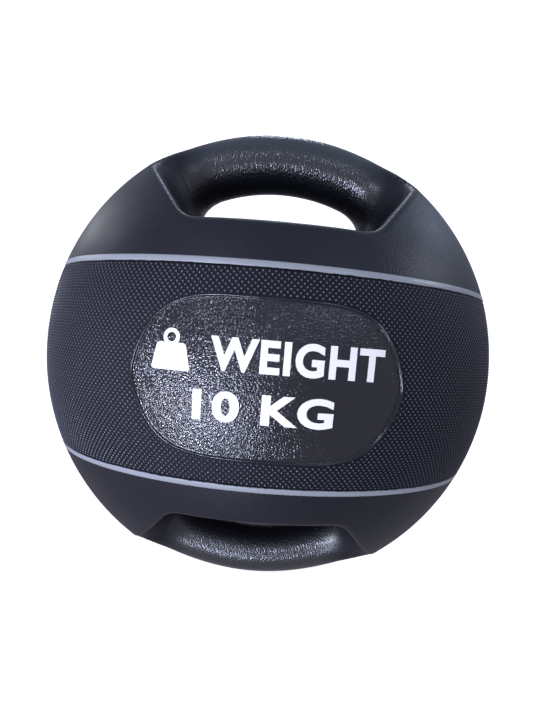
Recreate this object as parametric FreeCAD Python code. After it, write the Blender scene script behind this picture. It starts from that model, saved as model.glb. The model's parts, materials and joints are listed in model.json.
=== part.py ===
"""Dual-grip medicine ball, 10 kg.

A 280 mm rubber ball with two hand slots. Each slot runs right through the ball from front to back,
and an arched grip bar bridges it. Origin at the ball's centre, +Z up through the upper grip, and
-Y the front, which carries the printed badge. The lower half repeats the upper one, turned half a
turn about Y. Millimetres.
"""
import FreeCAD, Part
import math
import os

V = FreeCAD.Vector
CENTRE = V(0, 0, 0)
ALONG_Y = V(0, 1, 0)

# Ball and its layers
BALL_R = 140.0            # outside of the caps and stripes
COVER_T = 9.0             # rubber cover, the same under the hand slots
LINER_T = 3.0             # bag that keeps the filling off the cover

# Belt between the two stripes
STRIPE_Z = 52.65          # height of a stripe's centre line, and of the joint between belt and cap
STRIPE_W = 3.0
STRIPE_DEPTH = 2.5
BELT_SINK = 0.5           # the belt's ground lies this far under the caps, to leave room for its relief

# Badge let into the belt
BADGE_HALF_W = 65.0
BADGE_HALF_H = 38.0
BADGE_CORNER_R = 29.0
BADGE_T = 2.5
BADGE_SINK = 1.3          # face of the badge below the ball's surface

# Hand slot, seen along Y
SLOT_FLOOR_Z = 72.8
SLOT_FLOOR_HALF = 35.0    # flat part of the floor
SLOT_CORNER_R = 13.0
SLOT_WALL_DEG = 49.0      # slope of the walls from horizontal

# Grip bar, bent about the ball's centre
BAR_ARC_R = 125.7
BAR_R = 16.8
BAR_FLARE_R = 24.0        # fillet with which a bar runs out into the slot's walls
CORE_R = 8.0              # steel tube inside the rubber grip
CORE_BORE_R = 6.0
CORE_EMBED = 6.0          # how far the tube's ends go into the cap's wall

# Plug in the filling hole, at the rear
PLUG_R = 8.0
PLUG_HEAD_R = 11.0
PLUG_HEAD_T = 2.0

REACH = 400.0             # longer than the ball, for cutting tools

WALL = math.radians(SLOT_WALL_DEG)


def turned_over(shape):
    """The same shape for the lower half: half a turn about Y."""
    return shape.rotated(CENTRE, ALONG_Y, 180)


def slab(z_low, z_high):
    """Everything between two heights."""
    return Part.makeBox(REACH, REACH, z_high - z_low, V(-REACH / 2, -REACH / 2, z_low))


def half_space(side):
    """Everything in front of (side -1) or behind (side +1) the XZ plane."""
    y_low = 0 if side > 0 else -REACH
    return Part.makeBox(REACH, REACH, REACH, V(-REACH / 2, y_low, -REACH / 2))


def slot_wall_foot(grow):
    """Where the corner arc of the slot ends and its straight wall starts, right-hand side."""
    radius = SLOT_CORNER_R + grow
    floor = SLOT_FLOOR_Z - grow
    return V(SLOT_FLOOR_HALF + radius * math.sin(WALL), 0, floor + radius * (1 - math.cos(WALL)))


def hand_slot(grow=0.0):
    """The upper slot as a prism along Y, widened all round by grow."""
    radius = SLOT_CORNER_R + grow
    floor = SLOT_FLOOR_Z - grow
    foot = slot_wall_foot(grow)
    top = foot + V(math.cos(WALL), 0, math.sin(WALL)) * (REACH / 3)
    middle = V(SLOT_FLOOR_HALF + radius * math.sin(WALL / 2), 0, floor + radius * (1 - math.cos(WALL / 2)))
    corner = V(SLOT_FLOOR_HALF, 0, floor)

    def left(point):
        return V(-point.x, 0, point.z)

    edges = [
        Part.LineSegment(left(corner), corner).toShape(),
        Part.Arc(corner, middle, foot).toShape(),
        Part.LineSegment(foot, top).toShape(),
        Part.LineSegment(top, left(top)).toShape(),
        Part.LineSegment(left(top), left(foot)).toShape(),
        Part.Arc(left(foot), left(middle), left(corner)).toShape(),
    ]
    face = Part.Face(Part.Wire(edges))
    face.translate(V(0, -REACH / 2, 0))
    return face.extrude(V(0, REACH, 0))


def slotted_ball(depth):
    """The ball's body, taken in by depth from its outside and from the slots' walls."""
    slot = hand_slot(depth)
    return Part.makeSphere(BALL_R - depth).cut([slot, turned_over(slot)])


def bar_end_angle():
    """Angle from vertical at which the bar's centre line meets the slot's wall, in degrees."""
    foot = slot_wall_foot(0)
    along = V(math.cos(WALL), 0, math.sin(WALL))
    half = foot.dot(along)
    run = -half + math.sqrt(half ** 2 - foot.dot(foot) + BAR_ARC_R ** 2)
    end = foot + along * run
    return math.degrees(math.atan2(end.x, end.z))


def arched_tube(radius, end_angle):
    """A round bar bent about the ball's centre, from -end_angle to end_angle of vertical."""
    section = Part.Face(Part.Wire(Part.makeCircle(radius, V(0, 0, BAR_ARC_R), V(1, 0, 0))))
    section.rotate(CENTRE, ALONG_Y, -end_angle)
    return section.revolve(CENTRE, ALONG_Y, 2 * end_angle)


def bar_flare(end_angle):
    """Trumpet at the right-hand end of a bar, where it runs out into the slot's wall."""
    fillet = BAR_FLARE_R
    mid = fillet * math.sqrt(0.5)
    start = V(-fillet, 0, BAR_R)
    bend = V(-fillet + mid, 0, BAR_R + fillet - mid)
    rim = V(0, 0, BAR_R + fillet)
    back = V(fillet, 0, BAR_R + fillet)
    edges = [
        Part.LineSegment(V(-fillet, 0, 0), start).toShape(),
        Part.Arc(start, bend, rim).toShape(),
        Part.LineSegment(rim, back).toShape(),
        Part.LineSegment(back, V(fillet, 0, 0)).toShape(),
        Part.LineSegment(V(fillet, 0, 0), V(-fillet, 0, 0)).toShape(),
    ]
    horn = Part.Face(Part.Wire(edges)).revolve(CENTRE, V(1, 0, 0), 360)
    horn.translate(V(0, 0, BAR_ARC_R))
    horn.rotate(CENTRE, ALONG_Y, end_angle)
    return horn


def badge_outline(grow=0.0):
    """The badge as a prism along Y through the front: straight top and bottom, bowed ends."""
    half_w = BADGE_HALF_W + grow
    half_h = BADGE_HALF_H + grow
    flat = BADGE_HALF_W - BADGE_CORNER_R - 3.0
    tip = V(half_w, 0, 0)
    top = V(flat, 0, half_h)
    shoulder = V(half_w - 7.0, 0, half_h * 0.56)

    def at(point, x_sign, z_sign):
        return V(x_sign * point.x, 0, z_sign * point.z)

    edges = [
        Part.LineSegment(at(top, -1, 1), top).toShape(),
        Part.Arc(top, shoulder, tip).toShape(),
        Part.Arc(tip, at(shoulder, 1, -1), at(top, 1, -1)).toShape(),
        Part.LineSegment(at(top, 1, -1), at(top, -1, -1)).toShape(),
        Part.Arc(at(top, -1, -1), at(shoulder, -1, -1), at(tip, -1, 1)).toShape(),
        Part.Arc(at(tip, -1, 1), at(shoulder, -1, 1), at(top, -1, 1)).toShape(),
    ]
    face = Part.Face(Part.Wire(edges))
    return face.extrude(V(0, -REACH / 2, 0))


def plug_solid():
    """Rubber bung with a flat head, pushed into the filling hole from the rear."""
    head_y = BALL_R - BADGE_SINK
    shank_y = BALL_R - COVER_T - LINER_T
    shank = Part.makeCylinder(PLUG_R, head_y - shank_y, V(0, shank_y, 0), ALONG_Y)
    head = Part.makeCylinder(PLUG_HEAD_R, PLUG_HEAD_T, V(0, head_y - PLUG_HEAD_T, 0), ALONG_Y)
    return shank.fuse(head).removeSplitter()


def grip_core():
    """Steel tube inside a grip, its two ends let into the cap."""
    angle = bar_end_angle() + math.degrees(CORE_EMBED / BAR_ARC_R)
    return arched_tube(CORE_R, angle).cut(arched_tube(CORE_BORE_R, angle))


def grip():
    """Rubber sleeve moulded over the core, flared where it meets the slot's walls."""
    angle = bar_end_angle()
    right = bar_flare(angle)
    left = right.rotated(CENTRE, V(0, 0, 1), 180)
    flares = right.fuse(left).common(Part.makeSphere(BALL_R))
    bar = arched_tube(BAR_R, angle + 8).fuse(flares).common(hand_slot())
    return bar.cut(arched_tube(CORE_R, angle + 8))


def stripe():
    """Grey rubber strip inlaid in the groove between cap and belt."""
    band = slab(STRIPE_Z - STRIPE_W / 2, STRIPE_Z + STRIPE_W / 2)
    return Part.makeSphere(BALL_R).cut(Part.makeSphere(BALL_R - STRIPE_DEPTH)).common(band)


def cap():
    """Dome above the stripe, with the hand slot moulded into it."""
    dome = slotted_ball(0).common(slab(STRIPE_Z, BALL_R)).cut(slotted_ball(COVER_T))
    angle = bar_end_angle() + math.degrees(CORE_EMBED / BAR_ARC_R)
    return dome.cut([stripe(), arched_tube(CORE_R, angle)])


def belt(side):
    """Half of the textured belt, front (side -1) or rear (side +1), with a pocket for the badge."""
    ring = Part.makeSphere(BALL_R - BELT_SINK).cut(Part.makeSphere(BALL_R - COVER_T))
    ring = ring.common(slab(-STRIPE_Z, STRIPE_Z)).common(half_space(side))
    ring = ring.cut([stripe(), turned_over(stripe())])
    pocket = badge_outline().cut(Part.makeSphere(BALL_R - BADGE_SINK - BADGE_T))
    if side > 0:
        pocket = pocket.rotated(CENTRE, V(0, 0, 1), 180)
    return ring.cut(pocket)


def badge(side):
    """Oval pad let into the belt."""
    skin = Part.makeSphere(BALL_R - BADGE_SINK).cut(Part.makeSphere(BALL_R - BADGE_SINK - BADGE_T))
    pad = skin.common(badge_outline())
    return pad.rotated(CENTRE, V(0, 0, 1), 180) if side > 0 else pad


def sub_parts():
    """Every piece by its name."""
    plug = plug_solid()
    upper_cap, upper_grip, upper_core, upper_stripe = cap(), grip(), grip_core(), stripe()
    filling = slotted_ball(COVER_T + LINER_T)
    liner = slotted_ball(COVER_T).cut([filling, plug])
    return {
        "upper_cap": upper_cap,
        "lower_cap": turned_over(upper_cap),
        "upper_grip": upper_grip,
        "lower_grip": turned_over(upper_grip),
        "upper_grip_core": upper_core,
        "lower_grip_core": turned_over(upper_core),
        "front_belt": belt(-1),
        "rear_belt": belt(1).cut(plug),
        "upper_stripe": upper_stripe,
        "lower_stripe": turned_over(upper_stripe),
        "front_badge": badge(-1),
        "rear_badge": badge(1).cut(plug),
        "liner": liner,
        "weight_filling": filling.cut(plug),
        "fill_plug": plug,
    }


os.makedirs("parts", exist_ok=True)
for node, shape in sub_parts().items():
    solids = shape.Solids
    print(node, len(solids), "solid,", "valid" if shape.isValid() else "NOT VALID",
          round(sum(s.Volume for s in solids) / 1000, 1), "cm3")
    body = solids[0] if len(solids) == 1 else Part.makeCompound(solids)
    body.exportStep("parts/%s.step" % node)
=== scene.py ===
"""The looks of a dual-grip medicine ball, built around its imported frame.

A moulded rubber ball, 280 mm across. Two caps with a hand slot each, a grip bar bridging each slot,
a belt of small moulded points between two grey stripes, and an oval badge front and rear.
"""

import json
import math
import random

import bmesh
import bpy
import numpy as np
from bpy.props import FloatProperty, IntProperty, PointerProperty, StringProperty
from mathutils import Matrix, Vector


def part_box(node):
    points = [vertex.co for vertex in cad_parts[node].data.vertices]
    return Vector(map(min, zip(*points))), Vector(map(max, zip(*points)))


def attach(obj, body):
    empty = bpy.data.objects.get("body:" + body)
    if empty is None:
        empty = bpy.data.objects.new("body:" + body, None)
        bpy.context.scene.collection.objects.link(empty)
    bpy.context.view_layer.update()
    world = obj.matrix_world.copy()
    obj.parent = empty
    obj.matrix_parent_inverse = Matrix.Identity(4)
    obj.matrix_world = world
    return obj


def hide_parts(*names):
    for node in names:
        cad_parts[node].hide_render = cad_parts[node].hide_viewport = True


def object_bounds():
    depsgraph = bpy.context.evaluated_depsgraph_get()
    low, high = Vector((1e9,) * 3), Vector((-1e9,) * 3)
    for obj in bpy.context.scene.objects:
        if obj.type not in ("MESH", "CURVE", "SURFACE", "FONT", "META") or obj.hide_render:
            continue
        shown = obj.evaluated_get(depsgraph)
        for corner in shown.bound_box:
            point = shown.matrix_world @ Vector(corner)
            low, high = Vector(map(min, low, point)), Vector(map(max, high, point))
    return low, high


bl_info = {
    "name": "Dual-grip medicine ball",
    "version": (1, 0, 0),
    "blender": (4, 5, 0),
    "location": "View3D > Sidebar > Medicine ball",
    "description": "Builds the rubber skins, belt, stripes, badges and print of a medicine ball",
    "category": "Object",
}

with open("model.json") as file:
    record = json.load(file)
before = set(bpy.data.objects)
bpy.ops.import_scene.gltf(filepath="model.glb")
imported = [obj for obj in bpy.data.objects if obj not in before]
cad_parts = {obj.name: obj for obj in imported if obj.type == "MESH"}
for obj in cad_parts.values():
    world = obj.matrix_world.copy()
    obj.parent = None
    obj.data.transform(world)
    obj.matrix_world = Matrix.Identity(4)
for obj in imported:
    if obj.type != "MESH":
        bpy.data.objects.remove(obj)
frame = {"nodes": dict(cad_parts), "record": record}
CAD_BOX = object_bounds()

MM = 0.001
BODY = "root"
FRONT, REAR = -1, 1
MOUNTS = {mount["name"]: mount for mount in frame["record"]["mounts"]}
HALF_TURN = Matrix.Rotation(math.pi, 4, "Y")

PLAIN_ROUGHNESS = 0.47            # of a cap's rubber, and of a grip where it runs into the cap
SLEEVE_END = math.radians(28.5)   # angle from vertical at which a grip's sleeve ends
BAR_REACH = math.radians(40)      # the same for the plain bar under the skin, hidden in the walls
BAR_ROOM = 1.6                    # bar radii within which a face belongs to the bar
FADE_START, FADE_END = 44 * MM, 64 * MM   # distance aside over which a grip's grain fades
BELT_EDGE = 1.5 * MM              # how far the belt stops short of its CAD height, under the stripe
BELT_FADE = 0.5 * MM              # width over which the points rise to full height
BADGE_BACK = 3.7 * MM             # depth of the badge's back under the caps
PRINT_MESH = 2.5 * MM             # spacing of the cuts that let the print follow the ball
STRIPE_WOBBLE = 0.16 * MM         # unevenness of a stripe's lower edge
MERGE = 0.001 * MM                # vertices nearer than this are one


def length(name, text, default, soft_max=1.0):
    """A size in metres, shown in the sidebar."""
    return FloatProperty(name=name, description=text, default=default, min=0.0, soft_max=soft_max,
                         unit="LENGTH", subtype="DISTANCE", precision=5)


def hex_colour(name, text, default):
    """An sRGB colour written as hex."""
    return StringProperty(name=name, description=text, default=default, maxlen=7)


class BallSizes(bpy.types.PropertyGroup):
    """The sizes of the ball's body, from the frame where it holds them."""
    radius: length("Radius", "Outside of the caps", MOUNTS["rack_cradle"]["dims"]["r_mm"] * MM)
    cover: length("Cover", "Thickness of the rubber cover", 9 * MM)
    bar_radius: length("Bar radius", "Half the thickness of a grip",
                       MOUNTS["upper_grip"]["dims"]["r_mm"] * MM)
    bar_arc: length("Bar arc", "Radius that a grip is bent to", MOUNTS["upper_grip"]["pos_m"][2])
    bar_swell: length("Bar swell", "How far a grip may stand out of the ball", 5.25 * MM)
    swell_width: length("Swell width", "How far to the front and rear the swell fades", 39.5 * MM)
    bar_flare: length("Bar flare", "Width over which a grip runs out into the slot's walls", 26.25 * MM)
    bar_end: length("Bar end", "Distance from the middle at which a grip meets the ball's outside", 78 * MM)
    bar_web: length("Bar web", "How much a grip widens to the front and rear at its end", 13 * MM)
    slot_floor: length("Slot floor", "Height of the hand slot's floor", 73.45 * MM)
    slot_flat: length("Slot flat", "Half the flat part of the floor", 39.8 * MM)
    slot_corner: length("Slot corner", "Radius between floor and wall", 13 * MM)
    slot_slope: FloatProperty(name="Slot slope", description="Slope of the slot's walls",
                              default=math.radians(52.8), subtype="ANGLE")
    crease: length("Crease", "Width over which the slot's edge is rounded", 4.15 * MM)
    mesh_size: length("Mesh size", "Spacing of the vertices on the moulded skins", 1.7 * MM)


class BeltSizes(bpy.types.PropertyGroup):
    """The sizes of the belt's relief."""
    sink: length("Sink", "Depth of the belt's ground under the caps", 0.55 * MM)
    point_height: length("Point height", "Height of a moulded point", 0.65 * MM)
    point_pitch: length("Point pitch", "Spacing of the points along a row", 3.13 * MM)
    row_pitch: length("Row pitch", "Spacing of the rows", 1.5 * MM)
    margin: length("Margin", "Smooth strip between the stripe and the first row", 0.4 * MM)
    pocket: length("Pocket", "Depth of the pocket that the badge lies in", 3.8 * MM)


class BadgeSizes(bpy.types.PropertyGroup):
    """The sizes of the oval badge and its print."""
    half_width: length("Half width", "Half the badge's width", 64.6 * MM)
    half_height: length("Half height", "Half the badge's height", 37.1 * MM)
    sink: length("Sink", "Depth of the badge's face under the caps", 1.0 * MM)
    lip: length("Lip", "Width of the smooth lip round the badge", 1.2 * MM)
    ink: length("Ink", "How far the print stands proud of the badge", 0.2 * MM)
    power_across: FloatProperty(name="Power across",
                                description="Exponent of the outline across: 2 is an ellipse",
                                default=4.9, min=1.2, soft_max=8.0)
    power_up: FloatProperty(name="Power up", description="Exponent of the outline upwards: 2 is an ellipse",
                            default=1.42, min=1.2, soft_max=8.0)
    steps: IntProperty(name="Steps", description="Vertices round the badge", default=288, min=32)


class Finishes(bpy.types.PropertyGroup):
    """The colours of the rubbers and the ink."""
    cap: hex_colour("Cap", "Black moulded rubber", "#12131b")
    grip: hex_colour("Grip", "Black moulded rubber of the grips", "#0a0b12")
    belt: hex_colour("Belt", "Black rubber of the belt's ground", "#0c0d16")
    # painted highlight: the lighter colour of the points' tips stands in for their glints
    belt_tip_painted_highlight: hex_colour("Belt tips", "Painted highlight on the tips of the belt's points", "#545666")
    badge: hex_colour("Badge", "Black rubber of the badge", "#0b0c14")
    stripe: hex_colour("Stripe", "Grey rubber strip", "#96999d")
    ink: hex_colour("Ink", "White ink", "#fffcf4")


# ---- shared helpers -------------------------------------------------------------------------


def linear(hex_text):
    """An sRGB hex colour as linear red, green, blue and 1."""
    values = [int(hex_text[i:i + 2], 16) / 255 for i in (1, 3, 5)]
    return [v / 12.92 if v <= 0.04045 else ((v + 0.055) / 1.055) ** 2.4 for v in values] + [1.0]


def add_node(tree, kind, settings=None, **inputs):
    """Adds a node, sets its properties, and gives its inputs a value or a link."""
    node = tree.nodes.new(kind)
    for key, value in (settings or {}).items():
        setattr(node, key, value)
    for key, value in inputs.items():
        socket = node.inputs[int(key[1:]) if key[1:].isdigit() else key.replace("_", " ")]
        if isinstance(value, bpy.types.NodeSocket):
            tree.links.new(value, socket)
        else:
            socket.default_value = value
    return node


def new_material(name, **surface):
    """A material with a Principled surface, and its tree."""
    material = bpy.data.materials.new(name)
    material.use_nodes = True
    tree = material.node_tree
    tree.nodes.clear()
    shader = add_node(tree, "ShaderNodeBsdfPrincipled", **surface)
    output = add_node(tree, "ShaderNodeOutputMaterial", Surface=shader.outputs["BSDF"])
    output.location = (400, 0)
    return material, tree, shader


def finish_piece(obj, material, slot_name, *replaced):
    """Gives a piece its material and its body, and hides the frame nodes it stands for; slot_name is not
    used.
    """
    obj.data.materials.clear()
    obj.data.materials.append(material)
    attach(obj, BODY)
    if replaced:
        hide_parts(*replaced)
    return obj


def object_from(bm, name, smooth=True):
    """Turns a bmesh into an object of the scene."""
    mesh = bpy.data.meshes.new(name)
    for face in bm.faces:
        face.smooth = smooth
    bm.to_mesh(mesh)
    bm.free()
    obj = bpy.data.objects.new(name, mesh)
    bpy.context.scene.collection.objects.link(obj)
    return obj


def lathe(bm, profile, axis, steps, merge):
    """Turns a profile's vertices and edges all round an axis through the origin."""
    bmesh.ops.spin(bm, geom=profile, cent=(0, 0, 0), axis=axis, angle=2 * math.pi, steps=steps,
                   use_merge=True)
    bmesh.ops.remove_doubles(bm, verts=bm.verts, dist=merge)


def applied(obj):
    """Applies an object's modifiers."""
    graph = bpy.context.evaluated_depsgraph_get()
    mesh = bpy.data.meshes.new_from_object(obj.evaluated_get(graph))
    obj.modifiers.clear()
    obj.data = mesh
    return obj


def coordinates(mesh):
    """A mesh's vertices as an array."""
    flat = np.empty(len(mesh.vertices) * 3)
    mesh.vertices.foreach_get("co", flat)
    return flat.reshape(-1, 3)


def set_coordinates(mesh, points):
    """Moves a mesh's vertices to the points of an array."""
    mesh.vertices.foreach_set("co", points.astype(np.float32).ravel())
    mesh.update()


# ---- the moulded skin, as a distance ---------------------------------------------------------


def blended_least(a, b, width):
    """The smaller of two distances, with the corner between them filled."""
    near = np.maximum(width - np.abs(a - b), 0) / width
    return np.minimum(a, b) - near * near * width / 4


def blended_most(a, b, width):
    """The larger of two distances, with the edge between them rounded."""
    return -blended_least(-a, -b, width)


def slot_distance(x, z, size):
    """Distance outside the hand slot, seen along Y: a floor, a corner arc and a sloping wall."""
    across, above = np.abs(x) - size.slot_flat, z - size.slot_floor - size.slot_corner
    along_x, along_z = math.cos(size.slot_slope), math.sin(size.slot_slope)
    floor = -above - size.slot_corner
    wall = across * along_z - above * along_x - size.slot_corner
    corner = np.hypot(across, above) - size.slot_corner
    past_corner = across * along_x + above * along_z > 0
    return np.where(past_corner & (across > 0), wall, np.where(across < 0, floor, corner))


def skin_distance(points, size):
    """Distance outside the upper half's skin: ball, hand slot and grip bar, run into each other."""
    x, y, z = points.T
    from_centre = np.linalg.norm(points, axis=1)
    along = np.abs(x) / size.bar_end
    web = size.bar_web * np.minimum(along, 1.3) ** 4.5
    bar = np.hypot(np.hypot(x, z) - size.bar_arc, np.maximum(np.abs(y) - web, 0)) - size.bar_radius
    swell = size.bar_swell * np.maximum(1 - along ** 4, 0) * np.exp(-(y / size.swell_width) ** 2)
    outside = from_centre - size.radius - swell
    inside = blended_least(-slot_distance(x, z, size), bar, size.bar_flare)
    return blended_most(inside, outside, size.crease)


def skin_gradient(points, size):
    """Direction out of the skin at each point."""
    step = 0.05 * MM
    parts = []
    for axis in range(3):
        shift = np.zeros(3)
        shift[axis] = step
        rise = skin_distance(points + shift, size) - skin_distance(points - shift, size)
        parts.append(rise / (2 * step))
    return np.array(parts).T


def settle_on_skin(points, size, rounds):
    """Moves points along the skin's gradient until they lie on it."""
    for _ in range(rounds):
        slope = skin_gradient(points, size)
        steep = np.maximum((slope ** 2).sum(axis=1), 0.05)
        points = points - (skin_distance(points, size) / steep)[:, None] * slope
    return points


# ---- caps and grips -------------------------------------------------------------------------


def slot_prism(size, depth):
    """A bmesh prism along Y that fills the hand slot, widened by depth."""
    corner = size.slot_corner + depth
    floor = size.slot_floor - depth
    turns = 6
    right = []
    for i in range(turns + 1):
        angle = size.slot_slope * i / turns
        right.append((size.slot_flat + corner * math.sin(angle), floor + corner * (1 - math.cos(angle))))
    reach = size.radius
    foot = right[-1]
    right.append((foot[0] + reach * math.cos(size.slot_slope), foot[1] + reach * math.sin(size.slot_slope)))
    outline = right + [(-x, z) for x, z in reversed(right)]
    bm = bmesh.new()
    face = bm.faces.new([bm.verts.new((x, -2 * reach, z)) for x, z in outline])
    made = bmesh.ops.extrude_face_region(bm, geom=[face])
    moved = [v for v in made["geom"] if isinstance(v, bmesh.types.BMVert)]
    bmesh.ops.translate(bm, verts=moved, vec=(0, 4 * reach, 0))
    bmesh.ops.recalc_face_normals(bm, faces=bm.faces)
    return bm


def slotted_dome(size, depth, floor_z, rings):
    """The ball's upper part with its hand slot, taken in by depth and cut off at floor_z."""
    bm = bmesh.new()
    bmesh.ops.create_uvsphere(bm, u_segments=2 * rings, v_segments=rings, radius=size.radius - depth)
    keep_above(bm, (0, 0, floor_z), (0, 0, 1))
    dome = object_from(bm, "dome")
    cutter = object_from(slot_prism(size, depth), "slot")
    cut = dome.modifiers.new("slot", "BOOLEAN")
    cut.operation, cut.solver, cut.object = "DIFFERENCE", "EXACT", cutter
    applied(dome)
    bpy.data.objects.remove(cutter)
    return dome


def keep_above(bm, point, normal, close=True):
    """Cuts a bmesh at a plane, keeps the side that normal points to, and closes the cut."""
    geom = bm.verts[:] + bm.edges[:] + bm.faces[:]
    cut = bmesh.ops.bisect_plane(bm, geom=geom, plane_co=point, plane_no=normal, clear_inner=True)
    edges = [e for e in cut["geom_cut"] if isinstance(e, bmesh.types.BMEdge)]
    if close:
        bmesh.ops.holes_fill(bm, edges=edges, sides=0)
    return edges


def bar_mesh(size, name):
    """The plain bar, long enough to end inside the slot's walls."""
    bm = bmesh.new()
    bmesh.ops.create_circle(bm, cap_ends=True, radius=size.bar_radius, segments=32,
                            matrix=Matrix.Rotation(math.pi / 2, 4, "Y"))
    bmesh.ops.translate(bm, verts=bm.verts, vec=(0, 0, size.bar_arc))
    bmesh.ops.rotate(bm, verts=bm.verts, cent=(0, 0, 0), matrix=Matrix.Rotation(-BAR_REACH, 3, "Y"))
    bmesh.ops.spin(bm, geom=bm.faces[:], cent=(0, 0, 0), axis=(0, 1, 0), angle=2 * BAR_REACH, steps=24)
    bmesh.ops.recalc_face_normals(bm, faces=bm.faces)
    return object_from(bm, name)


def moulded_skin(size):
    """The upper cap and grip as one mesh, open below, run smoothly into each other."""
    foot = size.slot_floor * 0.6
    dome = slotted_dome(size, 0, foot, 96)
    bar = bar_mesh(size, "bar")
    bm = bmesh.new()
    bm.from_mesh(dome.data)
    bm.from_mesh(bar.data)
    for source in (dome, bar):
        bpy.data.objects.remove(source)
    skin = object_from(bm, "skin")
    remesh = skin.modifiers.new("even", "REMESH")
    remesh.mode, remesh.voxel_size = "VOXEL", size.mesh_size
    applied(skin)
    bm = bmesh.new()
    bm.from_mesh(skin.data)
    closure = [f for f in bm.faces if f.calc_center_median().z < foot + size.mesh_size]
    bmesh.ops.delete(bm, geom=closure, context="FACES")
    bm.to_mesh(skin.data)
    bm.free()
    set_coordinates(skin.data, settle_on_skin(coordinates(skin.data), size, 4))
    for _ in range(4):
        smooth = skin.modifiers.new("even", "SMOOTH")
        smooth.factor, smooth.iterations = 0.5, 3
        applied(skin)
        set_coordinates(skin.data, settle_on_skin(coordinates(skin.data), size, 2))
    return skin


def with_skin_normals(obj, size, turned=(1, 1, 1)):
    """Shades a piece by the skin's own direction, to hide joints; turned gives a lower piece's signs."""
    slope = skin_gradient(coordinates(obj.data) * turned, size) * turned
    slope /= np.maximum(np.linalg.norm(slope, axis=1), 1e-9)[:, None]
    obj.data.normals_split_custom_set_from_vertices(slope.tolist())


def grip_planes(size):
    """Where the grip's sleeve ends: a point and an inward direction for the right and left end."""
    across, up = math.sin(SLEEVE_END), math.cos(SLEEVE_END)
    for sign in (1, -1):
        yield Vector((sign * across, 0, up)) * size.bar_arc, Vector((-sign * up, 0, across))


def cap_piece(size, skin, stripe_top, name):
    """The cap: the skin without its bar's middle, hollow inside, ending at the stripe."""
    bm = bmesh.new()
    bm.from_mesh(skin.data)
    rim = keep_above(bm, (0, 0, stripe_top), (0, 0, 1), close=False)
    hollow = slotted_dome(size, size.cover, stripe_top, 48)
    inner = bmesh.new()
    inner.from_mesh(hollow.data)
    bottom = [f for f in inner.faces if f.calc_center_median().z < stripe_top + size.mesh_size / 10]
    bmesh.ops.delete(inner, geom=bottom, context="FACES_ONLY")
    bmesh.ops.delete(inner, geom=[e for e in inner.edges if not e.link_faces], context="EDGES")
    bmesh.ops.reverse_faces(inner, faces=inner.faces)
    inner.to_mesh(hollow.data)
    inner.free()
    before = set(bm.edges)
    bm.from_mesh(hollow.data)
    inner_rim = [e for e in bm.edges if e not in before and e.is_boundary]
    rim = [e for e in rim if e.is_valid and e.is_boundary]
    bmesh.ops.bridge_loops(bm, edges=rim + inner_rim)
    bpy.data.objects.remove(hollow)
    cut_out_sleeve(bm, size)
    bmesh.ops.triangulate(bm, faces=[f for f in bm.faces if len(f.verts) > 4])
    return object_from(bm, name)


def sleeve_faces(bm, size):
    """The faces of the bar that lie between the two ends of its sleeve."""
    planes = list(grip_planes(size))
    room = BAR_ROOM * size.bar_radius
    inside = size.bar_arc - room

    def between(face):
        middle = face.calc_center_median()
        return (middle.length > inside and abs(middle.y) < room
                and all((middle - point).dot(inward) > 0 for point, inward in planes))
    return [f for f in bm.faces if between(f)]


def cut_at_sleeve_ends(bm, size):
    """Cuts the bar's faces at both ends of its sleeve."""
    for point, inward in grip_planes(size):
        near = [f for f in bm.faces if (f.calc_center_median() - point).length < 2 * size.bar_radius]
        geom = near + list({v for f in near for v in f.verts}) + list({e for f in near for e in f.edges})
        bmesh.ops.bisect_plane(bm, geom=geom, plane_co=point, plane_no=inward)


def close_holes(bm):
    """Closes the ends that a cut left open."""
    open_edges = [e for e in bm.edges if e.is_boundary]
    made = bmesh.ops.holes_fill(bm, edges=open_edges, sides=0)
    for face in made["faces"]:
        face.smooth = False


def cut_out_sleeve(bm, size):
    """Takes the middle of the bar out of a cap and closes its two stumps."""
    cut_at_sleeve_ends(bm, size)
    bmesh.ops.delete(bm, geom=sleeve_faces(bm, size), context="FACES")
    close_holes(bm)


def grip_piece(size, skin, name):
    """The sleeve of the grip, between its two end planes."""
    bm = bmesh.new()
    bm.from_mesh(skin.data)
    cut_at_sleeve_ends(bm, size)
    keep = set(sleeve_faces(bm, size))
    bmesh.ops.delete(bm, geom=[f for f in bm.faces if f not in keep], context="FACES")
    close_holes(bm)
    bmesh.ops.triangulate(bm, faces=[f for f in bm.faces if len(f.verts) > 4])
    return object_from(bm, name)


def turned_copy(obj, name):
    """The same piece for the ball's lower half: half a turn about Y."""
    mesh = obj.data.copy()
    mesh.transform(HALF_TURN)
    copy = bpy.data.objects.new(name, mesh)
    bpy.context.scene.collection.objects.link(copy)
    return copy


# ---- belt -----------------------------------------------------------------------------------


def badge_margin(x, z, badge):
    """About how far a point lies outside the badge's outline, by its place on the ball's front."""
    across, up = np.abs(x) / badge.half_width, np.abs(z) / badge.half_height
    over = across ** badge.power_across + up ** badge.power_up - 1
    slope = np.hypot(badge.power_across / badge.half_width * across ** (badge.power_across - 1),
                     badge.power_up / badge.half_height * up ** (badge.power_up - 1))
    return over / np.maximum(slope, 0.2 / badge.half_width)


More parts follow.
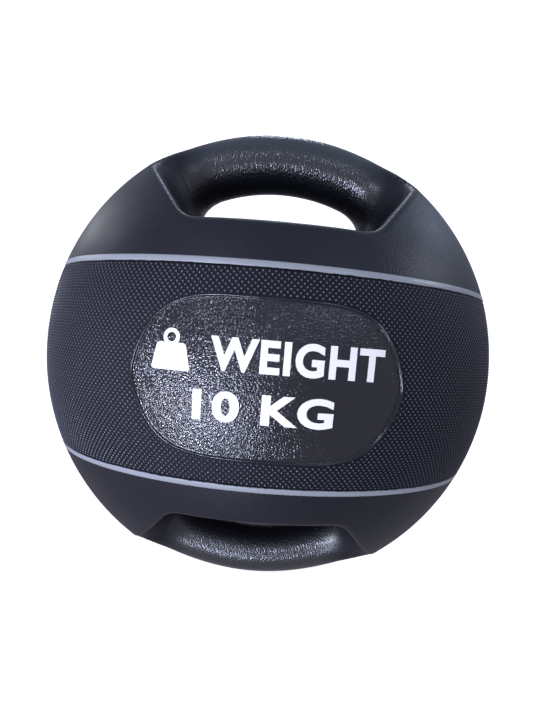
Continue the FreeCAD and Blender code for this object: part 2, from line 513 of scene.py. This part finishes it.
def belt_piece(size, belt, badge, side, name):
    """Half of the belt: a ring of moulded points with a pocket for the badge, closed inside."""
    half_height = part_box("front_belt")[1].z - BELT_EDGE
    ground = size.radius - belt.sink
    columns = 2 * int(round(math.pi * size.radius / belt.point_pitch))
    rise = math.asin(half_height / size.radius)
    rows = 2 * (int(2 * rise * size.radius / belt.row_pitch) // 2)
    fine = 2
    bm = bmesh.new()
    bmesh.ops.create_grid(bm, x_segments=columns * fine, y_segments=rows * fine, size=0.5)
    patch = object_from(bm, name)
    flat = coordinates(patch.data)
    column, row = (flat[:, 0] + 0.5) * columns, (flat[:, 1] + 0.5) * rows
    turn = math.pi * column / columns
    tilt = rise * (2 * row / rows - 1)
    point = ((np.cos(math.pi * (column + row)) + np.cos(math.pi * (column - row)) + 2) / 4) ** 2
    from_edge = (rise - np.abs(tilt)) * size.radius
    shown = np.clip((from_edge - belt.margin) / BELT_FADE, 0, 1)
    x, z = np.cos(turn) * np.cos(tilt) * size.radius, np.sin(tilt) * size.radius
    outside = badge_margin(x, z, badge)
    shown = shown * np.clip((outside - badge.lip - 0.1 * MM) / BELT_FADE, 0, 1)
    out = ground + belt.point_height * point * shown
    out = np.where(outside < 0, size.radius - belt.pocket, out)
    ring = np.array([np.cos(turn) * np.cos(tilt), side * np.sin(turn) * np.cos(tilt), np.sin(tilt)]).T
    set_coordinates(patch.data, ring * out[:, None])
    waves = np.array([math.pi * (column + row), math.pi * (column - row), shown * (outside > 0)]).T
    lattice = patch.data.attributes.new("lattice", "FLOAT_VECTOR", "POINT")
    lattice.data.foreach_set("vector", waves.astype(np.float32).ravel())
    return close_belt(patch, size, rise, side)


def close_belt(patch, size, rise, side):
    """Gives half a belt its inner wall and its edges."""
    bm = bmesh.new()
    bm.from_mesh(patch.data)
    outer_rim = [e for e in bm.edges if e.is_boundary]
    before = set(bm.verts)
    made = bmesh.ops.create_grid(bm, x_segments=48, y_segments=6, size=0.5)
    inner = size.radius - size.cover
    for vert in made["verts"]:
        turn, tilt = math.pi * (vert.co.x + 0.5), 2 * rise * vert.co.y
        vert.co = Vector((math.cos(turn) * math.cos(tilt), side * math.sin(turn) * math.cos(tilt),
                          math.sin(tilt))) * inner
    inner_rim = [e for e in bm.edges if e.is_boundary and e.verts[0] not in before]
    bmesh.ops.bridge_loops(bm, edges=outer_rim + inner_rim)
    bmesh.ops.recalc_face_normals(bm, faces=bm.faces)
    for face in bm.faces:
        face.smooth = True
    bm.to_mesh(patch.data)
    bm.free()
    return patch


# ---- stripes --------------------------------------------------------------------------------


def stripe_piece(size, name):
    """A rubber strip with a rounded face, its lower edge a little uneven where it meets the points."""
    low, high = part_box("upper_stripe")
    steps = 512
    draw = random.Random(7)
    outside = size.radius + 0.12 * MM
    profile = []
    for out, z in ((-2.4, low.z), (-0.4, low.z), (-0.1, low.z + 0.15 * MM), (0.0, low.z + 0.6 * MM),
                   (0.03, (low.z + high.z) / 2), (0.0, high.z - 0.6 * MM),
                   (-0.1, high.z - 0.15 * MM), (-0.4, high.z), (-2.4, high.z)):
        profile.append((math.sqrt((outside + out * MM) ** 2 - z ** 2), z))
    bm = bmesh.new()
    ring = [bm.verts.new((r, 0, z)) for r, z in profile]
    edges = [bm.edges.new((ring[i - 1], ring[i])) for i in range(len(ring))]
    lathe(bm, ring + edges, (0, 0, 1), steps, MERGE)
    wobble = [draw.uniform(-1, 1) for _ in range(steps)]
    for vert in bm.verts:
        if vert.co.z < low.z + 0.3 * MM:
            turn = int(round(math.atan2(vert.co.y, vert.co.x) / (2 * math.pi) * steps)) % steps
            vert.co.z += STRIPE_WOBBLE * wobble[turn]
    bmesh.ops.recalc_face_normals(bm, faces=bm.faces)
    return object_from(bm, name)


# ---- badge and print --------------------------------------------------------------------------


def badge_outline(badge):
    """Evenly spaced points of the badge's outline, seen from the front, and the way out at each."""
    turn = np.linspace(0, 2 * math.pi, 20001)
    c, s = np.cos(turn), np.sin(turn)
    x = badge.half_width * np.sign(c) * np.abs(c) ** (2 / badge.power_across)
    z = badge.half_height * np.sign(s) * np.abs(s) ** (2 / badge.power_up)
    run = np.concatenate(([0], np.cumsum(np.hypot(np.diff(x), np.diff(z)))))
    at = (np.arange(badge.steps) + 0.5) / badge.steps * run[-1]
    points = np.array([np.interp(at, run, x), np.interp(at, run, z)]).T
    along = np.roll(points, -1, axis=0) - np.roll(points, 1, axis=0)
    along /= np.linalg.norm(along, axis=1)[:, None]
    return points, np.array([along[:, 1], -along[:, 0]]).T


def on_ball(x, z, radius):
    """A point at that radius behind which a flat front view shows x and z."""
    return Vector((x, -math.sqrt(max(radius ** 2 - x * x - z * z, 0)), z))


def badge_piece(size, badge, name):
    """The badge: a thin raised lip, a step down, and a face that follows the ball."""
    face = size.radius - badge.sink
    back = size.radius - BADGE_BACK
    crest = size.radius + 0.1 * MM
    lip = badge.lip
    # each section of the rim: how far outside the outline, and how far from the ball's centre
    sections = [(lip * 0.96, back), (lip, crest - 1.0 * MM), (lip * 0.9, crest - 0.5 * MM),
                (lip * 0.7, crest - 0.15 * MM), (lip * 0.45, crest), (lip * 0.2, crest - 0.1 * MM),
                (0.0, crest - 0.4 * MM), (-0.25 * MM, face + 0.1 * MM), (-0.6 * MM, face - 0.05 * MM),
                (-1.2 * MM, face)]
    outline, outward = badge_outline(badge)
    bm = bmesh.new()
    ring = bmesh.ops.create_circle(bm, cap_ends=False, radius=1, segments=badge.steps)["verts"]
    edges = bm.edges[:]
    place_ring(ring, outline + outward * sections[0][0], sections[0][1])
    for offset, radius in sections[1:]:
        edges, ring = next_ring(bm, edges, ring)
        place_ring(ring, outline + outward * offset, radius)
    rim = outline + outward * sections[-1][0]
    rings = 24
    for part in range(1, rings):
        edges, ring = next_ring(bm, edges, ring)
        place_ring(ring, rim * (1 - part / rings), face)
    bmesh.ops.holes_fill(bm, edges=edges, sides=0)
    first = [e for e in bm.edges if e.is_boundary]
    bmesh.ops.holes_fill(bm, edges=first, sides=0)
    bmesh.ops.recalc_face_normals(bm, faces=bm.faces)
    pad = object_from(bm, name)
    points = coordinates(pad.data)
    inside = np.clip((-0.3 * MM - badge_margin(points[:, 0], points[:, 2], badge)) / (0.6 * MM), 0, 1)
    inside[np.linalg.norm(points, axis=1) < face - MM] = 0
    grained = pad.data.attributes.new("grained", "FLOAT", "POINT")
    grained.data.foreach_set("value", inside.astype(np.float32))
    return pad


def next_ring(bm, edges, ring):
    """Extrudes a closed loop of edges once, keeping the order of its vertices."""
    before = {v: i for i, v in enumerate(ring)}
    made = bmesh.ops.extrude_edge_only(bm, edges=edges)
    new_edges = [g for g in made["geom"] if isinstance(g, bmesh.types.BMEdge)
                 and not any(v in before for v in g.verts)]
    new_verts = [g for g in made["geom"] if isinstance(g, bmesh.types.BMVert)]
    order = [None] * len(ring)
    for vert in new_verts:
        for edge in vert.link_edges:
            other = edge.other_vert(vert)
            if other in before:
                order[before[other]] = vert
    return new_edges, order


def place_ring(ring, flat, radius):
    """Lays a ring of vertices on the ball at that radius, above its flat front view."""
    for vert, (x, z) in zip(ring, flat):
        vert.co = on_ball(x, z, radius)


# Each printed line: its text, the place of its centre across and up, its height and its width, in mm.
PRINT_LINES = (("WEIGHT", 13.5, 11.5, 15.5, 81), ("10 KG", -1, -12.5, 14.5, 66))


def print_piece(size, badge, name):
    """White print: a weight pictogram and a word in one line, and the mass below them."""
    bm = bmesh.new()
    for text, centre_x, centre_z, height, width in PRINT_LINES:
        add_text(bm, text, centre_x * MM, centre_z * MM, height * MM, width * MM)
    add_weight_sign(bm, -45.5 * MM, 11.5 * MM, 19 * MM)
    for axis, reach in ((0, badge.half_width), (2, badge.half_height)):
        normal = Vector((axis == 0, 0, axis == 2))
        for i in range(int(-reach / PRINT_MESH), int(reach / PRINT_MESH) + 1):
            bmesh.ops.bisect_plane(bm, geom=bm.verts[:] + bm.edges[:] + bm.faces[:],
                                   plane_co=normal * (i * PRINT_MESH), plane_no=normal)
    face = size.radius - badge.sink
    for vert in bm.verts:
        out = face + (badge.ink if vert.co.y < 0 else -badge.ink)
        vert.co = on_ball(vert.co.x, vert.co.z, out)
    return object_from(bm, name, smooth=False)


def add_text(bm, text, centre_x, centre_z, height, width):
    """Adds a line of letters, standing up in the XZ plane, stretched to its height and width."""
    curve = bpy.data.curves.new("letters", "FONT")
    curve.body = text
    curve.extrude, curve.offset, curve.resolution_u, curve.space_character = 0.1, 0.036, 5, 1.1
    holder = bpy.data.objects.new("letters", curve)
    bpy.context.scene.collection.objects.link(holder)
    graph = bpy.context.evaluated_depsgraph_get()
    mesh = bpy.data.meshes.new_from_object(holder.evaluated_get(graph))
    bpy.data.objects.remove(holder)
    points = coordinates(mesh)
    low, high = points.min(axis=0), points.max(axis=0)
    middle, span = (low + high) / 2, high - low
    stretched = np.array([(points[:, 0] - middle[0]) * width / span[0] + centre_x, -points[:, 2] * MM * 10,
                          (points[:, 1] - middle[1]) * height / span[1] + centre_z]).T
    set_coordinates(mesh, stretched)
    bm.from_mesh(mesh)


def add_weight_sign(bm, centre_x, centre_z, height):
    """Adds the plain sign for a weight: a tapered block with a ring on top."""
    block, half_low, half_high = height * 0.66, height * 0.5, height * 0.36
    low = centre_z - height / 2
    corners = [(-half_low, low), (half_low, low), (half_high, low + block), (-half_high, low + block)]
    face = bm.faces.new([bm.verts.new((centre_x + x, -MM, z)) for x, z in corners])
    bmesh.ops.bevel(bm, geom=list(face.verts), offset=height * 0.08, segments=4, profile=0.5,
                    affect="VERTICES", material=-1)
    ring_z, steps = low + block + height * 0.13, 40
    rims = []
    for radius in (height * 0.21, height * 0.11):
        turns = [2 * math.pi * i / steps for i in range(steps)]
        rims.append([bm.verts.new((centre_x + radius * math.cos(t), -1.1 * MM,
                                   ring_z + radius * math.sin(t))) for t in turns])
    for i in range(steps):
        after = (i + 1) % steps
        bm.faces.new((rims[0][i], rims[0][after], rims[1][after], rims[1][i]))


# ---- plug -----------------------------------------------------------------------------------


def plug_piece(name):
    """The rubber plug in the rear badge: a flat head with a rounded edge and a small valve hole."""
    low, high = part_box("fill_plug")
    head, face = high.x, high.y
    shank = head * 0.73
    # radius and place along Y: the valve hole, the groove round it, the head's rounded edge, the shank
    profile = [(0.0, face - 2.0 * MM), (0.9 * MM, face - 1.9 * MM), (1.2 * MM, face - 0.3 * MM),
               (1.8 * MM, face + 0.1 * MM), (4.2 * MM, face + 0.1 * MM), (4.8 * MM, face - 0.35 * MM),
               (5.6 * MM, face - 0.35 * MM), (6.2 * MM, face + 0.25 * MM),
               (head - 1.2 * MM, face + 0.35 * MM), (head - 0.4 * MM, face + 0.1 * MM),
               (head, face - 0.6 * MM), (head, face - 2.0 * MM), (shank, face - 2.2 * MM),
               (shank, low.y), (0.0, low.y)]
    bm = bmesh.new()
    verts = [bm.verts.new((r, y, 0)) for r, y in profile]
    edges = [bm.edges.new(pair) for pair in zip(verts, verts[1:])]
    lathe(bm, verts + edges, (0, 1, 0), 64, MERGE)
    bmesh.ops.recalc_face_normals(bm, faces=bm.faces)
    return object_from(bm, name)


# ---- materials -------------------------------------------------------------------------------


def moulded_rubber(name, colour, roughness, grain_mm, grain_depth, stretch=(1, 1, 1), turn=0.0,
                   detail=3.0, specular=0.5, ior=1.52):
    """Rubber moulded against a grained steel tool: dark, with a broad soft gloss. Grain sizes are in mm."""
    material, tree, shader = new_material(name, Base_Color=linear(colour), IOR=ior,
                                          Specular_IOR_Level=specular)
    place = add_node(tree, "ShaderNodeTexCoord")
    mapped = add_node(tree, "ShaderNodeMapping", Vector=place.outputs["Object"], Scale=stretch,
                      Rotation=(0, turn, 0))
    grain = add_node(tree, "ShaderNodeTexNoise", Vector=mapped.outputs["Vector"],
                     Scale=1 / (grain_mm * MM), Detail=detail, Roughness=0.6)
    wear = add_node(tree, "ShaderNodeTexNoise", Vector=place.outputs["Object"], Scale=25.0, Detail=4.0)
    rough = add_node(tree, "ShaderNodeMapRange", Value=wear.outputs["Fac"], From_Min=0.3, From_Max=0.7,
                     To_Min=roughness - 0.04, To_Max=roughness + 0.05)
    bump = add_node(tree, "ShaderNodeBump", Height=grain.outputs["Fac"], Strength=1.0,
                    Distance=grain_depth * MM)
    tree.links.new(rough.outputs["Result"], shader.inputs["Roughness"])
    tree.links.new(bump.outputs["Normal"], shader.inputs["Normal"])
    return material, tree, shader, bump, rough


def fade_grain_to_ends(tree, shader, bump, rough):
    """Lets a grip's grain and gloss fade into the cap's plainer finish towards its two ends."""
    place = add_node(tree, "ShaderNodeTexCoord")
    split = add_node(tree, "ShaderNodeSeparateXYZ", Vector=place.outputs["Object"])
    aside = add_node(tree, "ShaderNodeMath", {"operation": "ABSOLUTE"}, _0=split.outputs["X"])
    fade = add_node(tree, "ShaderNodeMapRange", Value=aside.outputs["Value"],
                    From_Min=FADE_START, From_Max=FADE_END, To_Min=1.0, To_Max=0.06)
    mixed = add_node(tree, "ShaderNodeMix", {"data_type": "FLOAT"}, _0=fade.outputs["Result"],
                     _2=PLAIN_ROUGHNESS, _3=rough.outputs["Result"])
    gloss = add_node(tree, "ShaderNodeMapRange", Value=fade.outputs["Result"], To_Min=0.2, To_Max=1.0)
    tree.links.new(fade.outputs["Result"], bump.inputs["Strength"])
    tree.links.new(mixed.outputs[0], shader.inputs["Roughness"])
    tree.links.new(gloss.outputs["Result"], shader.inputs["Specular IOR Level"])


def fade_grain_to_rim(tree, shader, bump, rough):
    """Leaves the badge's lip smooth and glossy, with the grain growing in inside it."""
    grained = add_node(tree, "ShaderNodeAttribute", {"attribute_name": "grained"})
    lip_roughness = 0.2
    mixed = add_node(tree, "ShaderNodeMix", {"data_type": "FLOAT"}, _0=grained.outputs["Fac"],
                     _2=lip_roughness, _3=rough.outputs["Result"])
    tree.links.new(grained.outputs["Fac"], bump.inputs["Strength"])
    tree.links.new(mixed.outputs[0], shader.inputs["Roughness"])


def belt_rubber(colours):
    """Black rubber with moulded points. Their tips are painted lighter as a painted highlight in place of
    the points' glints, and they are smoother.
    """
    material, tree, shader = new_material("moulded_rubber_points", IOR=1.52)
    lattice = add_node(tree, "ShaderNodeAttribute", {"attribute_name": "lattice"})
    split = add_node(tree, "ShaderNodeSeparateXYZ", Vector=lattice.outputs["Vector"])
    rising = add_node(tree, "ShaderNodeMath", {"operation": "COSINE"}, _0=split.outputs["X"])
    falling = add_node(tree, "ShaderNodeMath", {"operation": "COSINE"}, _0=split.outputs["Y"])
    both = add_node(tree, "ShaderNodeMath", {"operation": "ADD"}, _0=rising.outputs[0],
                    _1=falling.outputs[0])
    wave = add_node(tree, "ShaderNodeMapRange", Value=both.outputs[0], From_Min=-2.0, From_Max=2.0)
    sharp = add_node(tree, "ShaderNodeMath", {"operation": "POWER"}, _0=wave.outputs["Result"], _1=4.0)
    point = add_node(tree, "ShaderNodeMath", {"operation": "MULTIPLY"}, _0=sharp.outputs[0],
                     _1=split.outputs["Z"])
    tip = add_node(tree, "ShaderNodeMapRange", Value=point.outputs[0], From_Min=0.2, From_Max=0.8,
                   To_Min=0.0, To_Max=1.0)
    # painted highlight: the tips are painted lighter than the ground, in place of the points' glints
    colour = add_node(tree, "ShaderNodeMix", {"data_type": "RGBA"}, _0=tip.outputs["Result"],
                      _6=linear(colours.belt), _7=linear(colours.belt_tip_painted_highlight))
    rough = add_node(tree, "ShaderNodeMapRange", Value=tip.outputs["Result"], To_Min=0.6, To_Max=0.2)
    shine = add_node(tree, "ShaderNodeMapRange", Value=tip.outputs["Result"], To_Min=0.22, To_Max=1.0)
    bump = add_node(tree, "ShaderNodeBump", Height=point.outputs[0], Strength=1.0, Distance=0.35 * MM)
    tree.links.new(colour.outputs[2], shader.inputs["Base Color"])
    tree.links.new(rough.outputs["Result"], shader.inputs["Roughness"])
    tree.links.new(shine.outputs["Result"], shader.inputs["Specular IOR Level"])
    tree.links.new(bump.outputs["Normal"], shader.inputs["Normal"])
    return material


def plain_finish(name, colour, **surface):
    """A smooth finish with a faint unevenness of its gloss."""
    material, tree, shader = new_material(name, Base_Color=linear(colour), **surface)
    place = add_node(tree, "ShaderNodeTexCoord")
    cloud = add_node(tree, "ShaderNodeTexNoise", Vector=place.outputs["Object"], Scale=300.0, Detail=2.0)
    base = surface.get("Roughness", 0.5)
    rough = add_node(tree, "ShaderNodeMapRange", Value=cloud.outputs["Fac"], To_Min=base - 0.08,
                     To_Max=base + 0.08)
    tree.links.new(rough.outputs["Result"], shader.inputs["Roughness"])
    return material


# ---- operators ------------------------------------------------------------------------------


class MEDBALL_OT_caps_and_grips(bpy.types.Operator):
    """Builds the two caps and the two grip sleeves"""
    bl_idname = "medball.caps_and_grips"
    bl_label = "Caps and grips"

    def execute(self, context):
        size, colours = context.scene.medball_sizes, context.scene.medball_finishes
        stripe_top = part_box("upper_stripe")[1].z
        skin = moulded_skin(size)
        cap_finish = moulded_rubber("moulded_rubber_fine_grain", colours.cap, PLAIN_ROUGHNESS, 1.1, 0.12,
                                    detail=0.0, specular=0.38)[0]
        grip_finish, *nodes = moulded_rubber(
            "moulded_rubber_leather_grain", colours.grip, 0.29, 0.95, 0.25, stretch=(1.15, 1.15, 0.55),
            turn=math.radians(35), detail=0.0, ior=1.63)
        fade_grain_to_ends(*nodes)
        cap = cap_piece(size, skin, stripe_top, "upper_cap_cover")
        grip = grip_piece(size, skin, "upper_grip_sleeve")
        bpy.data.objects.remove(skin)
        for piece, finish, slot_name, half in ((cap, cap_finish, "cap_rubber", "cap"),
                                               (grip, grip_finish, "grip_rubber", "grip")):
            with_skin_normals(piece, size)
            lower = turned_copy(piece, piece.name.replace("upper", "lower"))
            with_skin_normals(lower, size, turned=(-1, 1, -1))
            finish_piece(piece, finish, slot_name, "upper_" + half)
            finish_piece(lower, finish, slot_name, "lower_" + half)
        return {"FINISHED"}


class MEDBALL_OT_belt(bpy.types.Operator):
    """Builds the two halves of the belt"""
    bl_idname = "medball.belt"
    bl_label = "Belt"

    def execute(self, context):
        scene = context.scene
        finish = belt_rubber(scene.medball_finishes)
        for side, half in ((FRONT, "front"), (REAR, "rear")):
            belt = belt_piece(scene.medball_sizes, scene.medball_belt, scene.medball_badge, side,
                              half + "_belt_cover")
            finish_piece(belt, finish, "belt_rubber", half + "_belt")
        return {"FINISHED"}


class MEDBALL_OT_stripes(bpy.types.Operator):
    """Builds the two grey stripes"""
    bl_idname = "medball.stripes"
    bl_label = "Stripes"

    def execute(self, context):
        size, colours = context.scene.medball_sizes, context.scene.medball_finishes
        finish = plain_finish("grey_rubber_strip", colours.stripe, Roughness=0.36, IOR=1.5)
        upper = stripe_piece(size, "upper_stripe_strip")
        lower = turned_copy(upper, "lower_stripe_strip")
        finish_piece(upper, finish, "stripe_rubber", "upper_stripe")
        finish_piece(lower, finish, "stripe_rubber", "lower_stripe")
        return {"FINISHED"}


class MEDBALL_OT_badges(bpy.types.Operator):
    """Builds the badges, the print and the filling plug"""
    bl_idname = "medball.badges"
    bl_label = "Badges"

    def execute(self, context):
        scene = context.scene
        size, badge, colours = scene.medball_sizes, scene.medball_badge, scene.medball_finishes
        finish, *nodes = moulded_rubber("moulded_rubber_pebbled", colours.badge, 0.2, 0.9, 0.37, detail=0.0,
                                        specular=0.9)
        fade_grain_to_rim(*nodes)
        front = badge_piece(size, badge, "front_badge_pad")
        rear = front.copy()
        rear.data = front.data.copy()
        rear.name = "rear_badge_pad"
        scene.collection.objects.link(rear)
        rear.data.transform(Matrix.Rotation(math.pi, 4, "Z"))
        finish_piece(front, finish, "badge_rubber", "front_badge")
        finish_piece(rear, finish, "badge_rubber", "rear_badge")
        ink = plain_finish("white_pad_printing_ink", colours.ink, Roughness=0.45, IOR=1.45)
        finish_piece(print_piece(size, badge, "badge_print"), ink, "stripe_rubber")
        plug_finish = plain_finish("smooth_black_rubber", colours.cap, Roughness=0.45, IOR=1.52)
        finish_piece(plug_piece("fill_plug_head"), plug_finish, "plug_rubber", "fill_plug")
        return {"FINISHED"}


class MEDBALL_OT_inner_parts(bpy.types.Operator):
    """Gives the unseen inner parts their finishes"""
    bl_idname = "medball.inner_parts"
    bl_label = "Inner parts"

    def execute(self, context):
        steel = plain_finish("cold_drawn_steel_tube", "#b9babd", Metallic=1.0, Roughness=0.35)
        liner = plain_finish("smooth_liner_rubber", "#2a2a2a", Roughness=0.6, IOR=1.52)
        filling = moulded_rubber("sand_and_rubber_granules", "#5a5348", 0.85, 2.0, 1.0)[0]
        for node, finish in (("upper_grip_core", steel), ("lower_grip_core", steel), ("liner", liner),
                             ("weight_filling", filling)):
            mesh = frame["nodes"][node].data
            mesh.materials.clear()
            mesh.materials.append(finish)
        return {"FINISHED"}


class MEDBALL_OT_stage(bpy.types.Operator):
    """Sets up the floor, the lights and the camera"""
    bl_idname = "medball.stage"
    bl_label = "Stage"

    def execute(self, context):
        scene = context.scene
        radius = scene.medball_sizes.radius
        scene.view_settings.view_transform = "Standard"
        build_backdrop(CAD_BOX[0].z, radius)
        build_world(scene)
        build_lights(radius)
        build_camera(scene, radius)
        return {"FINISHED"}


def build_backdrop(floor_z, radius):
    """A pale floor that sweeps up all round into a wall and a roof.

    The lamps' light passes through it, and from outside it isn't seen.
    """
    reach, bend, roof = 14 * radius, 4 * radius, 18 * radius
    profile = [(0.0, floor_z), (reach - bend, floor_z)]
    for i in range(1, 13):
        angle = math.pi / 2 * i / 12
        profile.append((reach - bend + bend * math.sin(angle), floor_z + bend * (1 - math.cos(angle))))
    profile += [(reach, roof), (0.0, roof)]
    bm = bmesh.new()
    verts = [bm.verts.new((r, 0, z)) for r, z in profile]
    edges = [bm.edges.new(pair) for pair in zip(verts, verts[1:])]
    lathe(bm, verts + edges, (0, 0, 1), 64, MM)
    bmesh.ops.recalc_face_normals(bm, faces=bm.faces)
    bmesh.ops.reverse_faces(bm, faces=bm.faces)
    backdrop = object_from(bm, "floor")
    material, tree, shader = new_material(
        "pale_paper", Base_Color=linear("#f4f4f4"), Roughness=0.9, Specular_IOR_Level=0.1,
        Emission_Color=linear("#ffffff"), Emission_Strength=0.9)
    side = add_node(tree, "ShaderNodeNewGeometry")
    inside = add_node(tree, "ShaderNodeMath", {"operation": "SUBTRACT"}, _0=1.0,
                      _1=side.outputs["Backfacing"])
    tree.links.new(inside.outputs[0], shader.inputs["Alpha"])
    backdrop.data.materials.append(material)
    backdrop.visible_glossy = False
    backdrop.visible_diffuse = False
    backdrop.visible_shadow = False


def build_world(scene):
    """Soft room light: cool from above, a little dimmer and more neutral at the ball's level and below."""
    world = bpy.data.worlds.new("room")
    world.use_nodes = True
    tree = world.node_tree
    tree.nodes.clear()
    place = add_node(tree, "ShaderNodeTexCoord")
    split = add_node(tree, "ShaderNodeSeparateXYZ", Vector=place.outputs["Generated"])
    ramp = add_node(tree, "ShaderNodeValToRGB", Fac=split.outputs["Z"])
    level, above = ramp.color_ramp.elements
    level.position, level.color = 0.0, linear("#8e8d99")
    above.position, above.color = 1.0, linear("#8c9bb2")
    light = add_node(tree, "ShaderNodeBackground", Color=ramp.outputs["Color"], Strength=1.22)
    add_node(tree, "ShaderNodeOutputWorld", Surface=light.outputs["Background"])
    scene.world = world


# Each soft box: its name, degrees to the right of the camera, degrees above level, watts and colour.
SOFT_BOXES = (("key", -40, -18, 5.8, "#e2e7ff"), ("key_inner", -22, -8, 3.5, "#d6deff"),
              ("right", 90, 35, 1.4, "#e5edff"), ("left", -75, 3, 3.0, "#d9deff"),
              ("key_low", -15, -38, 2.7, "#d4dfff"), ("front", -33, 33, 1.6, "#e4e4ff"),
              ("rear_left", -125, 28, 0.9, "#f1f7ff"), ("rear_right", 125, 40, 0.7, "#c8dcff"),
              ("front_right", 30, 38, 0.75, "#dce6ff"), ("rear", 180, 45, 1.0, "#e4eaff"))


def build_lights(radius):
    """Square soft boxes on a sphere round the ball, all turned towards it."""
    for name, aside, rise, watts, colour in SOFT_BOXES:
        data = bpy.data.lights.new(name, "AREA")
        data.shape, data.size = "SQUARE", radius
        data.energy, data.color = watts, linear(colour)[:3]
        lamp = bpy.data.objects.new(name, data)
        turn, lift = math.radians(aside), math.radians(rise)
        away = Vector((math.sin(turn) * math.cos(lift), -math.cos(turn) * math.cos(lift), math.sin(lift)))
        lamp.location = away * 8 * radius
        lamp.rotation_euler = (-away).to_track_quat("-Z", "Y").to_euler()
        lamp.visible_camera = False
        bpy.context.scene.collection.objects.link(lamp)


def build_camera(scene, radius):
    """A close camera, a little above the ball's centre, whose axis passes below the ball."""
    distance, rise, roll = 3.0438 * radius, math.radians(2.685), math.radians(4.713)
    aside, down = math.radians(-0.337), math.radians(9.744)
    frame_width, frame_height = 533, 711
    focal, axis_x, axis_y = 626.5, 272.05, 476.43
    place = Vector((0, -math.cos(rise), math.sin(rise))) * distance
    forward = -place.normalized()
    right, up = Vector((1, 0, 0)), Vector((0, math.sin(rise), math.cos(rise)))
    right, up = right * math.cos(roll) + up * math.sin(roll), up * math.cos(roll) - right * math.sin(roll)
    forward = (forward - right * math.tan(aside) - up * math.tan(down)).normalized()
    right = (right - forward * right.dot(forward)).normalized()
    up = right.cross(forward)
    data = bpy.data.cameras.new("camera")
    data.sensor_width = 36.0
    data.lens = focal / frame_height * data.sensor_width
    data.shift_x = -(axis_x - frame_width / 2) / frame_height
    data.shift_y = (axis_y - frame_height / 2) / frame_height
    camera = bpy.data.objects.new("camera", data)
    camera.matrix_world = Matrix.Translation(place) @ Matrix((right, up, -forward)).transposed().to_4x4()
    bpy.context.scene.collection.objects.link(camera)
    scene.camera = camera


class MEDBALL_PT_panel(bpy.types.Panel):
    """Lists the steps that build the ball"""
    bl_label = "Medicine ball"
    bl_space_type = "VIEW_3D"
    bl_region_type = "UI"
    bl_category = "Medicine ball"

    def draw(self, context):
        for step in STEPS:
            self.layout.operator(step.bl_idname)
        for group in ("medball_sizes", "medball_belt", "medball_badge", "medball_finishes"):
            settings = getattr(context.scene, group)
            box = self.layout.box()
            for key in settings.bl_rna.properties.keys():
                if key not in ("rna_type", "name"):
                    box.prop(settings, key)


STEPS = (MEDBALL_OT_stage, MEDBALL_OT_caps_and_grips, MEDBALL_OT_belt, MEDBALL_OT_stripes,
         MEDBALL_OT_badges, MEDBALL_OT_inner_parts)
GROUPS = {"medball_sizes": BallSizes, "medball_belt": BeltSizes, "medball_badge": BadgeSizes,
          "medball_finishes": Finishes}


def register():
    for group in GROUPS.values():
        bpy.utils.register_class(group)
    for name, group in GROUPS.items():
        setattr(bpy.types.Scene, name, PointerProperty(type=group))
    for shown in STEPS + (MEDBALL_PT_panel,):
        bpy.utils.register_class(shown)


def unregister():
    for shown in (MEDBALL_PT_panel,) + STEPS[::-1]:
        bpy.utils.unregister_class(shown)
    for name, group in GROUPS.items():
        delattr(bpy.types.Scene, name)
        bpy.utils.unregister_class(group)


def main():
    """Builds the whole ball, step by step."""
    register()
    for step in STEPS:
        area, name = step.bl_idname.split(".")
        getattr(getattr(bpy.ops, area), name)()


if __name__ == "__main__":
    main()
